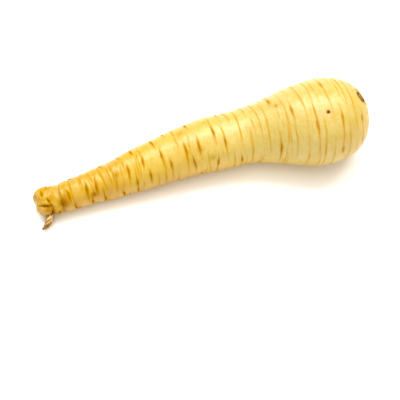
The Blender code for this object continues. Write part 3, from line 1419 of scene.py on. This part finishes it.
    def _blemishes(
        self, points: SkinPoints, height: np.ndarray
    ) -> tuple[np.ndarray, np.ndarray]:
        """Sink the one pit where the crown begins, and scatter small tan stains.

        Args:
            points: where the mesh's points lie.
            height: the height of each point so far.

        Returns:
            The new heights and the stain mark.
        """
        away = self._spot(points, self.form.crown_start, self.pit_turn)
        rim = hump(away - 1.9 * self.pit_radius, 0.6 * self.pit_radius)
        height = height - self.pit_depth * (hump(away, self.pit_radius) - 0.25 * rim)
        stain = np.zeros_like(height)
        chance = random.Random(self.stain_seed)
        for _ in range(self.stain_count):
            place = chance.uniform(self.form.body_start + 8.0, self.form.crown_start + 14.0)
            angle = chance.uniform(0.0, 360.0)
            radius = chance.uniform(*self.stain_radius)
            strength = chance.uniform(*self.stain_strength)
            stain = np.maximum(stain, strength * hump(self._spot(points, place, angle), radius))
        return height, np.clip(stain, 0.0, 1.0)

    def _scar(
        self, points: SkinPoints, height: np.ndarray
    ) -> tuple[np.ndarray, np.ndarray, np.ndarray]:
        """Sink the leaf scar with its raised rim.

        Args:
            points: where the mesh's points lie.
            height: the height of each point so far.

        Returns:
            The new heights, the scar mark, about 0.6 on the plate and 1 on its dark edge, and how clear
            of the scar each point is.
        """
        straight = points.straight
        degrees = np.degrees(np.clip(self.form.polar(points.station), 0.0, math.pi))
        crown = points.station > self.form.crown_start
        profile = np.array(self.form.scar_profile)
        ragged = degrees + 0.5 * cloud(straight, 3.0, 5.0)
        sunk = np.interp(ragged, profile[:, 0], profile[:, 1])
        plate = np.clip((self.plate_edge - ragged) / self.plate_edge_blend, 0.0, 1.0)
        bumps = 0.35 * cloud(straight, 1.3, 6.0) + 0.2 * cloud(straight, 0.6, 7.0)
        first, last = self.clear_span
        keep = np.clip((degrees - first) / (last - first), 0.0, 1.0)
        height = np.where(crown, height * keep + sunk + plate * bumps, height)
        torn = degrees + 2.6 * cloud(straight, 2.4, 17.0) + 0.8 * cloud(straight, 1.0, 24.0)
        brown = self.plate_ink * np.clip((self.plate_radius - torn) / self.plate_blend, 0.0, 1.0)
        edge = hump(torn - self.plate_radius + 0.9, 1.0) * patchy(straight, 2.0, 18.0, 0.15, 1.4)
        scar = np.where(crown, np.maximum(brown, edge), 0.0)
        return height, scar, np.where(crown, keep, 1.0)

    def _warmth(self, points: SkinPoints) -> np.ndarray:
        """Say how golden the skin is: palest at the neck, warmer at both ends, painted shade low on one
        side.

        Args:
            points: where the mesh's points lie.

        Returns:
            The warmth of each point.
        """
        station = points.axial_station
        towards_tail = np.clip((self.neck_station - station) / self.warming_length, 0.0, 1.0)
        warmth = np.maximum(towards_tail, self.crown_warmth * ease(station, self.crown_warm_span))
        # Painted shade: deeper gold low on one side, which the tail mark carries into the gold coats.
        low = self.painted_low_shade * hump(turn_from(points.turn, self.painted_shade_turn), self.painted_shade_half_turn)
        return np.clip(warmth + low * (1.0 - ease(station, self.painted_shade_fade)), 0.0, 1.0)

    def _growth_rings(self, points: SkinPoints) -> tuple[np.ndarray, np.ndarray]:
        """Ripple the crown's shoulder with fine rings.

        Args:
            points: where the mesh's points lie.

        Returns:
            Their height, and how strongly each is drawn.
        """
        station = points.axial_station
        wander = 3.0 * cloud(points.straight, 12.0, 8.0)
        wave = np.sin(2.0 * math.pi * station / self.ring_step + wander)
        shown = ease(station, self.ring_span) * (1.0 - ease(station, self.ring_fade))
        shown = shown * patchy(points.straight, 13.0, 9.0, 0.5, 1.5)
        return self.ring_height * wave * shown, self.ring_ink * np.clip(-wave, 0.0, 1.0) * shown

    def _unwrap(self, mesh: bpy.types.Mesh, points: SkinPoints) -> None:
        """Unroll the skin into one map, cut along the turn of 180 degrees.

        Args:
            mesh: the body's mesh.
            points: where its points lie.
        """
        layer = mesh.uv_layers.new(name=BAKE_MAP)
        station = points.station
        down = (station - station.min()) / (station.max() - station.min())
        across = (points.turn + 180.0) / 360.0
        poles = {int(station.argmin()), int(station.argmax())}
        for polygon in mesh.polygons:
            corners = [mesh.loops[index].vertex_index for index in polygon.loop_indices]
            values = {point: float(across[point]) for point in corners if point not in poles}
            if max(values.values()) - min(values.values()) > 0.5:
                values = {point: value + float(value < 0.5) for point, value in values.items()}
            usual = sum(values.values()) / len(values)
            for index, point in zip(polygon.loop_indices, corners):
                layer.data[index].uv = (min(values.get(point, usual), 1.0), float(down[point]))


# --------------------------------------------------------------------------------------------
# The tail
# --------------------------------------------------------------------------------------------


@dataclass(frozen=True)
class Fold:
    """One fold pressed into the knob, from one direction to another.

    A direction is a turn round the root and a tilt from the tail's end, both in degrees.
    """

    first: Pair
    last: Pair
    depth: float
    half_width: float

    def measure(self, directions: np.ndarray, outer: np.ndarray) -> tuple[np.ndarray, np.ndarray]:
        """Measure points against the fold.

        Args:
            directions: the way from the knob's middle to each point.
            outer: how far out each point lies, in millimetres.

        Returns:
            Each point's distance from the fold in millimetres, and how full the fold is there.
        """
        start = self._heading(*self.first)
        stop = self._heading(*self.last)
        reach = math.acos(float(np.clip(start @ stop, -1.0, 1.0)))
        across = np.cross(start, stop)
        across /= np.linalg.norm(across)
        ahead = np.cross(across, start)
        angle = np.arctan2(directions @ ahead, directions @ start)
        share = np.clip(angle / reach, 0.0, 1.0)
        past = np.abs(angle - share * reach)
        away = np.hypot(np.arcsin(np.clip(directions @ across, -1.0, 1.0)), past) * outer
        return away, np.sqrt(np.clip(1.0 - (2.0 * share - 1.0) ** 4, 0.25, 1.0))

    def _heading(self, turn: float, tilt: float) -> np.ndarray:
        """Work out one end's direction.

        Args:
            turn: degrees round the root.
            tilt: degrees away from the tail's end.

        Returns:
            The direction, of length 1.
        """
        around = math.radians(turn)
        aside = math.sin(math.radians(tilt))
        back = -math.cos(math.radians(tilt))
        return np.array((back, aside * math.cos(around), aside * math.sin(around)))


@dataclass
class TailKnob:
    """The folded knob at the tail: swollen lobes pressed together, with deep folds between."""

    middle: Triple = (2.6, -0.6, 10.0)
    # The middle and the half-sizes of each lobe.
    lobes: tuple[tuple[Triple, Triple], ...] = (
        ((2.8, 0.2, 10.0), (10.2, 9.4, 9.7)),
        ((-0.6, -4.6, 7.9), (6.2, 6.0, 6.8)),
        ((8.2, -1.4, 10.0), (7.4, 10.5, 9.8)),
        ((-2.6, 2.6, 10.4), (4.9, 5.8, 7.2)),
    )
    folds: tuple[Fold, ...] = (
        Fold((142.0, 38.0), (150.0, 100.0), 1.5, 0.95),
        Fold((225.0, 88.0), (150.0, 100.0), 1.3, 0.9),
        Fold((150.0, 100.0), (112.0, 84.0), 0.7, 0.7),
        Fold((96.0, 66.0), (60.0, 60.0), 0.7, 0.8),
        Fold((168.0, 112.0), (205.0, 122.0), 0.8, 0.8),
        Fold((10.0, 50.0), (300.0, 60.0), 1.0, 0.9),
        Fold((60.0, 105.0), (10.0, 95.0), 0.9, 0.8),
    )
    detail: int = 7
    blend: float = 1.0
    blend_trim: float = 0.8
    lump_heights: Pair = (0.8, 0.30)
    wrinkle_height: float = 0.07
    furrow_depth: float = 0.12
    lip_share: float = 0.4
    fold_wander: float = 0.09
    straight_middle: Triple = (0.0, 0.6, 10.0)
    # The joint's brown and the amber patch on one side are partly painted shade.
    joint_start: float = 10.2
    joint_blend: float = 2.0
    joint_ink: float = 0.75
    amber_start: float = 7.0
    amber_blend: float = 4.0
    amber_turn: float = 143.0
    amber_half: float = 25.0
    amber_ink: float = 0.8

    def build(self, material: bpy.types.Material, shift: Vector) -> bpy.types.Object:
        """Build and dress the knob.

        Args:
            material: the skin.
            shift: from the knob's middle to the origin, in millimetres.

        Returns:
            The knob's object.
        """
        shape = bmesh.new()
        bmesh.ops.create_icosphere(shape, subdivisions=self.detail, radius=1.0)
        mesh = bpy.data.meshes.new("tail_knob")
        shape.to_mesh(mesh)
        shape.free()
        directions = np.zeros(len(mesh.vertices) * 3, np.float32)
        mesh.vertices.foreach_get("co", directions)
        directions = directions.reshape(-1, 3).astype(float)
        directions /= np.linalg.norm(directions, axis=1)[:, None]
        reaches = np.stack([self._reach(directions, *lobe) for lobe in self.lobes])
        outer = self.blend * np.log(np.exp(reaches / self.blend).sum(axis=0)) - self.blend_trim
        plain = np.array(self.middle) + directions * outer[:, None]
        broad, small = self.lump_heights
        lumps = broad * cloud(plain, 6.0, 11.0) + small * cloud(plain, 2.6, 12.0)
        wrinkle = cloud(plain * np.array((1.0, 0.4, 0.4)), 1.1, 13.0)
        patches = patchy(plain, 5.0, 16.0, 0.5, 1.4)
        veins = np.abs(cloud(plain * np.array((1.0, 0.45, 0.6)), 3.4, 15.0))
        furrow = np.clip(1.0 - 3.2 * veins, 0.0, 1.0) ** 2 * patches
        groove, fold = self._pressed(directions, outer)
        reach = outer - groove + lumps
        reach += self.wrinkle_height * wrinkle - self.furrow_depth * furrow
        placed = np.array(self.middle) + directions * reach[:, None]
        placed[:, 2] = np.maximum(placed[:, 2], 0.0)
        rough_lines = np.clip((-wrinkle - 0.1) / 0.5, 0.0, 1.0)
        marks = {
            Mark.CREASE: np.clip(0.9 * fold + 0.35 * furrow + 0.2 * rough_lines, 0.0, 1.0),
            Mark.CORE: np.clip(0.95 * fold**3 + 0.12 * furrow, 0.0, 1.0),
            Mark.STAIN: np.clip(0.7 * cloud(plain, 4.0, 14.0) + 0.15, 0.0, 0.5),
            Mark.FOLD: self._joint(placed, patches),
            Mark.SCAR: np.zeros_like(fold),
            Mark.TAIL: np.ones_like(fold),
        }
        shape_and_mark(mesh, placed, shift, placed - np.array(self.straight_middle), marks)
        return put_in_scene("tail_knob", mesh, material)

    def _joint(self, placed: np.ndarray, patches: np.ndarray) -> np.ndarray:
        """Mark where the knob meets the body, darkest on one side: its own brown and painted shade.

        Args:
            placed: each point's place in millimetres.
            patches: a share for each point that comes and goes in patches.

        Returns:
            How much of the joint's brown each point shows.
        """
        joint = np.clip((placed[:, 0] - self.joint_start) / self.joint_blend, 0.0, 1.0)
        turn = np.degrees(np.arctan2(placed[:, 2] - self.middle[2], placed[:, 1]))
        amber = np.clip((placed[:, 0] - self.amber_start) / self.amber_blend, 0.0, 1.0)
        amber = amber * hump(turn_from(turn, self.amber_turn), self.amber_half)
        return np.maximum(self.joint_ink * joint * patches, self.amber_ink * amber)

    def _pressed(
        self, directions: np.ndarray, outer: np.ndarray
    ) -> tuple[np.ndarray, np.ndarray]:
        """Press the folds in, with a swollen lip on both sides of each.

        Args:
            directions: the way from the knob's middle to each point.
            outer: how far out each point lies.

        Returns:
            How deep each point is pressed, and how much of a fold it shows.
        """
        groove = np.zeros_like(outer)
        shown = np.zeros_like(outer)
        wander = np.stack([cloud(directions, 0.45, seed) for seed in (21.0, 22.0, 23.0)], axis=1)
        wandered = directions + self.fold_wander * wander
        wandered /= np.linalg.norm(wandered, axis=1)[:, None]
        for fold in self.folds:
            away, along = fold.measure(wandered, outer)
            wide = fold.half_width * (0.55 + 0.45 * along)
            trench = hump(away, wide) * along
            lip = hump(away - 2.3 * wide, 1.3 * wide) * along
            groove += fold.depth * (trench - self.lip_share * lip)
            shown = np.maximum(shown, trench)
        return groove, shown

    def _reach(self, directions: np.ndarray, place: Triple, sizes: Triple) -> np.ndarray:
        """Measure how far along each direction a lobe's far side lies.

        Args:
            directions: the way from the knob's middle to each point.
            place: the lobe's middle.
            sizes: the lobe's half-sizes.

        Returns:
            One length in millimetres for each direction, 0 where it misses the lobe.
        """
        start = (np.array(self.middle) - np.array(place)) / np.array(sizes)
        heading = directions / np.array(sizes)
        square = (heading**2).sum(axis=1)
        cross = heading @ start
        inside = cross**2 - square * (start @ start - 1.0)
        root = np.sqrt(np.clip(inside, 0.0, None))
        return np.where(inside > 0.0, np.maximum((-cross + root) / square, 0.0), 0.0)


@dataclass
class Rootlet:
    """The dried rootlet: a shrivelled, twisted strand with loose fibres round it."""

    start: Triple = (1.5, -7.5, 7.0)
    length: float = 13.0
    curl: float = 75.0
    sink: float = 4.5
    base_radius: float = 2.8
    end_radius: float = 0.7
    core_tone: float = 0.22
    core_ripples: tuple[Pair, ...] = ((0.9, 0.35), (2.2, 0.2))
    rings: int = 40
    fibres: int = 34
    fibre_radius: float = 0.42
    seed: int = 5

    def build(self, material: bpy.types.Material, shift: Vector) -> bpy.types.Object:
        """Build and dress the rootlet.

        Args:
            material: dried fibre.
            shift: from the knob's middle to the origin, in millimetres.

        Returns:
            The rootlet's object.
        """
        chance = random.Random(self.seed)
        shape = bmesh.new()
        tone = shape.verts.layers.float.new(Mark.TONE.value)
        spine = self._spine()
        shares = np.linspace(0.0, 1.0, self.rings) ** 1.5
        radii = list(self.base_radius + (self.end_radius - self.base_radius) * shares)
        core = Strand(spine, radii, sides=20, flatness=0.75, tone=self.core_tone)
        for vert in core.sweep(shape, tone):
            ripple = sum(noise.noise(vert.co * often) * size for often, size in self.core_ripples)
            centre = min(spine, key=lambda point: (point - vert.co).length)
            vert.co += (vert.co - centre) * ripple
        for _ in range(self.fibres):
            self._fibre(spine, radii, chance).sweep(shape, tone)
        return finish_strands("rootlet", shape, material, shift)

    def _spine(self) -> list[Vector]:
        """Walk along the strand's middle line, turning a little at each step.

        Returns:
            The points of the middle line.
        """
        point = Vector(self.start)
        points = []
        for index in range(self.rings):
            points.append(point.copy())
            curl = math.radians(self.curl) * index / (self.rings - 1)
            heading = Vector((-math.sin(curl), -math.cos(curl), -self.sink / self.length))
            point += heading * (self.length / (self.rings - 1))
        return points

    def _fibre(self, spine: list[Vector], radii: list[float], chance: random.Random) -> Strand:
        """Wind one loose fibre round part of the strand.

        Args:
            spine: the points of the strand's middle line.
            radii: the strand's radius at each.
            chance: the source of random numbers.

        Returns:
            The fibre.
        """
        start = chance.randint(2, self.rings // 2)
        stop = min(self.rings - 1, start + chance.randint(12, 24))
        phase = chance.uniform(0.0, 2.0 * math.pi)
        twist = chance.uniform(0.06, 0.16) * chance.choice((-1.0, 1.0))
        points = []
        sizes = []
        for index in range(start, stop, 2):
            tangent = (spine[min(index + 1, self.rings - 1)] - spine[index - 1]).normalized()
            side = tangent.cross(Vector((0.0, 0.0, 1.0))).normalized()
            lift = side.cross(tangent)
            angle = phase + twist * (index - start)
            away = side * math.cos(angle) + lift * math.sin(angle) * 0.75
            share = (index - start) / (stop - start)
            stand = radii[index] * (0.90 + 0.30 * share) + 0.1
            points.append(spine[index] + away * stand)
            sizes.append(self.fibre_radius * (1.0 - 0.65 * share))
        return Strand(points, sizes, sides=5, flatness=0.8, tone=chance.uniform(0.15, 0.9))


@dataclass
class LeafBases:
    """What is left of the leaves in the scar: torn fibres and curved stalk bases."""

    form: RootForm
    seed: int = 23
    # Distance from the scar's middle, first turn, turn it covers and tone of each stalk base.
    stalk_rows: tuple[tuple[float, float, float, float], ...] = (
        (0.9, 0.0, 300.0, 0.3),
        (1.7, 20.0, 150.0, 0.35),
        (1.9, 200.0, 140.0, 0.2),
        (2.6, 70.0, 120.0, 0.45),
        (2.8, 235.0, 110.0, 0.2),
        (3.4, 330.0, 90.0, 0.25),
        (3.5, 120.0, 80.0, 0.2),
        (3.9, 40.0, 100.0, 0.2),
        (4.0, 200.0, 120.0, 0.15),
    )
    stalk_steps: int = 14
    stalk_radius: float = 0.34
    fibres: int = 80
    fibre_steps: int = 4
    fibre_radius: float = 0.13
    fibre_reach: float = 4.4

    def build(self, material: bpy.types.Material, shift: Vector) -> bpy.types.Object:
        """Build and dress the leaf bases.

        Args:
            material: dried fibre.
            shift: from the knob's middle to the origin, in millimetres.

        Returns:
            The object that holds them all.
        """
        chance = random.Random(self.seed)
        shape = bmesh.new()
        tone = shape.verts.layers.float.new(Mark.TONE.value)
        for row in self.stalk_rows:
            self._stalk(*row, chance).sweep(shape, tone)
        for _ in range(self.fibres):
            self._fibre(chance).sweep(shape, tone)
        return finish_strands("leaf_bases", shape, material, shift)

    def _spot(self, radius: float, turn: float, height: float) -> Vector:
        """Place a point over the scar: millimetres from its middle, degrees round, height."""
        station = np.array((self.form.scar_station - radius,))
        return Vector(self.form.place(station, np.array((turn,)), np.array((height,)))[0].tolist())

    def _stalk(
        self, radius: float, first: float, sweep: float, shade: float, chance: random.Random
    ) -> Strand:
        """Curve one dried stalk base round the scar's middle.

        Args:
            radius: millimetres from the scar's middle.
            first: the turn where it starts.
            sweep: how many degrees it covers.
            shade: about its tone.
            chance: the source of random numbers.

        Returns:
            The stalk base.
        """
        points = []
        sizes = []
        for index in range(self.stalk_steps + 1):
            share = index / self.stalk_steps
            wander = radius + 0.25 * math.sin(share * 5.0 + radius * 3.0)
            height = -0.75 + 0.25 * math.sin(math.pi * share)
            points.append(self._spot(wander, first + sweep * share, height))
            thick = 0.35 + 0.65 * math.sin(math.pi * min(max(share, 0.06), 0.94))
            sizes.append(self.stalk_radius * thick)
        return Strand(points, sizes, sides=7, flatness=1.3, tone=shade + chance.uniform(-0.1, 0.1))

    def _fibre(self, chance: random.Random) -> Strand:
        """Stand one short torn fibre on the scar.

        Args:
            chance: the source of random numbers.

        Returns:
            The fibre.
        """
        radius = 4.1 * math.sqrt(chance.random())
        turn = chance.uniform(0.0, 360.0)
        length = chance.uniform(0.6, 1.9)
        lean = chance.uniform(-1.0, 1.0)
        points = []
        sizes = []
        for index in range(self.fibre_steps + 1):
            share = index / self.fibre_steps
            out = min(radius + lean * length * share * 0.6, self.fibre_reach)
            swing = turn + math.degrees(length * share * 0.7 / max(radius, 1.0)) * lean
            height = -1.2 + 0.9 * length * share * (1.0 - 0.4 * share)
            points.append(self._spot(max(out, 0.1), swing, height))
            sizes.append(self.fibre_radius * (1.0 - 0.8 * share))
        return Strand(points, sizes, sides=5, tone=chance.uniform(0.0, 0.5))


# --------------------------------------------------------------------------------------------
# The studio
# --------------------------------------------------------------------------------------------


@dataclass(frozen=True)
class SoftLight:
    """One soft rectangular light that faces the root. Its size and place are in metres."""

    name: str
    watts: float
    size: Pair
    place: Triple
    colour: str = "FFFFFF"

    def hang(self) -> None:
        """Put the light in the scene."""
        light = bpy.data.lights.new(self.name, "AREA")
        light.shape = "RECTANGLE"
        light.size, light.size_y = self.size
        light.energy = self.watts
        light.color = linear(self.colour)[:3]
        lamp = bpy.data.objects.new(self.name, light)
        lamp.location = self.place
        lamp.rotation_euler = (-Vector(self.place)).to_track_quat("-Z", "Y").to_euler()
        bpy.context.scene.collection.objects.link(lamp)


@dataclass
class Studio:
    """A white sweep, soft light from above and behind, a weak warm fill in front, and the camera."""

    floor_size: float = 6.0
    heading: float = 13.7
    elevation: float = 62.0
    distance: float = 0.75
    lens: float = 100.0
    sensor: float = 36.0
    aim: Triple = (-0.0062, -0.0240, 0.0)
    sky_strength: float = 0.62
    sky_colour: str = "FFFCF6"
    lights: tuple[SoftLight, ...] = (
        SoftLight("overhead_light", 5.6, (0.90, 0.90), (0.08, -0.06, 1.20)),
        SoftLight("back_soft_light", 20.0, (1.70, 0.48), (0.12, 0.45, 1.10)),
        SoftLight("front_fill", 4.2, (1.40, 0.90), (0.0, -1.0, 0.80), "FFE4B6"),
    )

    def build(self) -> None:
        """Set up the floor, the light and the camera."""
        self._floor()
        self._sky()
        for light in self.lights:
            light.hang()
        self._camera()
        bpy.context.scene.view_settings.view_transform = "Standard"
        log.info("studio ready")

    def _floor(self) -> None:
        """Lay the white board that the root rests on."""
        shape = bmesh.new()
        bmesh.ops.create_grid(shape, x_segments=4, y_segments=4, size=self.floor_size / 2.0)
        mesh = bpy.data.meshes.new("floor")
        shape.to_mesh(mesh)
        shape.free()
        mesh.materials.append(SweepFinish().build())
        floor = bpy.data.objects.new("floor", mesh)
        bpy.context.scene.collection.objects.link(floor)

    def _sky(self) -> None:
        """Fill the room with even, slightly warm light."""
        world = bpy.data.worlds.new("white room")
        world.use_nodes = True
        background = world.node_tree.nodes["Background"]
        background.inputs["Color"].default_value = linear(self.sky_colour)
        background.inputs["Strength"].default_value = self.sky_strength
        bpy.context.scene.world = world

    def _camera(self) -> None:
        """Stand the camera at its heading and height, looking at its aim."""
        heading = math.radians(self.heading)
        rise = math.radians(self.elevation)
        level = math.cos(rise)
        forward = Vector((math.sin(heading) * level, math.cos(heading) * level, -math.sin(rise)))
        data = bpy.data.cameras.new("camera")
        data.lens = self.lens
        data.sensor_width = self.sensor
        data.clip_start = 0.01
        camera = bpy.data.objects.new("camera", data)
        camera.location = Vector(self.aim) - forward * self.distance
        camera.rotation_euler = forward.to_track_quat("-Z", "Y").to_euler()
        bpy.context.scene.collection.objects.link(camera)
        bpy.context.scene.camera = camera


def main() -> None:
    """Build the parsnip and its studio, and report each piece."""
    logging.basicConfig(level=logging.INFO, format="%(name)s: %(message)s")
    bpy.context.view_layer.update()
    low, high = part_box(CAD_NODE)
    across = (low.y + high.y) / 2.0 / MM - BOX_MIDDLE_SIDEWAYS
    shift = Vector((low.x / MM + KNOB_REACH, across, 0.0))
    form = RootForm()
    body = RootBody(form, Creases())
    skin = SkinFinish().build(body.pit_place())
    fibre = DriedFibreFinish().build()
    body.build(skin, shift)
    TailKnob().build(skin, shift)
    Rootlet().build(fibre, shift)
    LeafBases(form).build(fibre, shift)
    Studio().build()


if __name__ == "__main__":
    main()
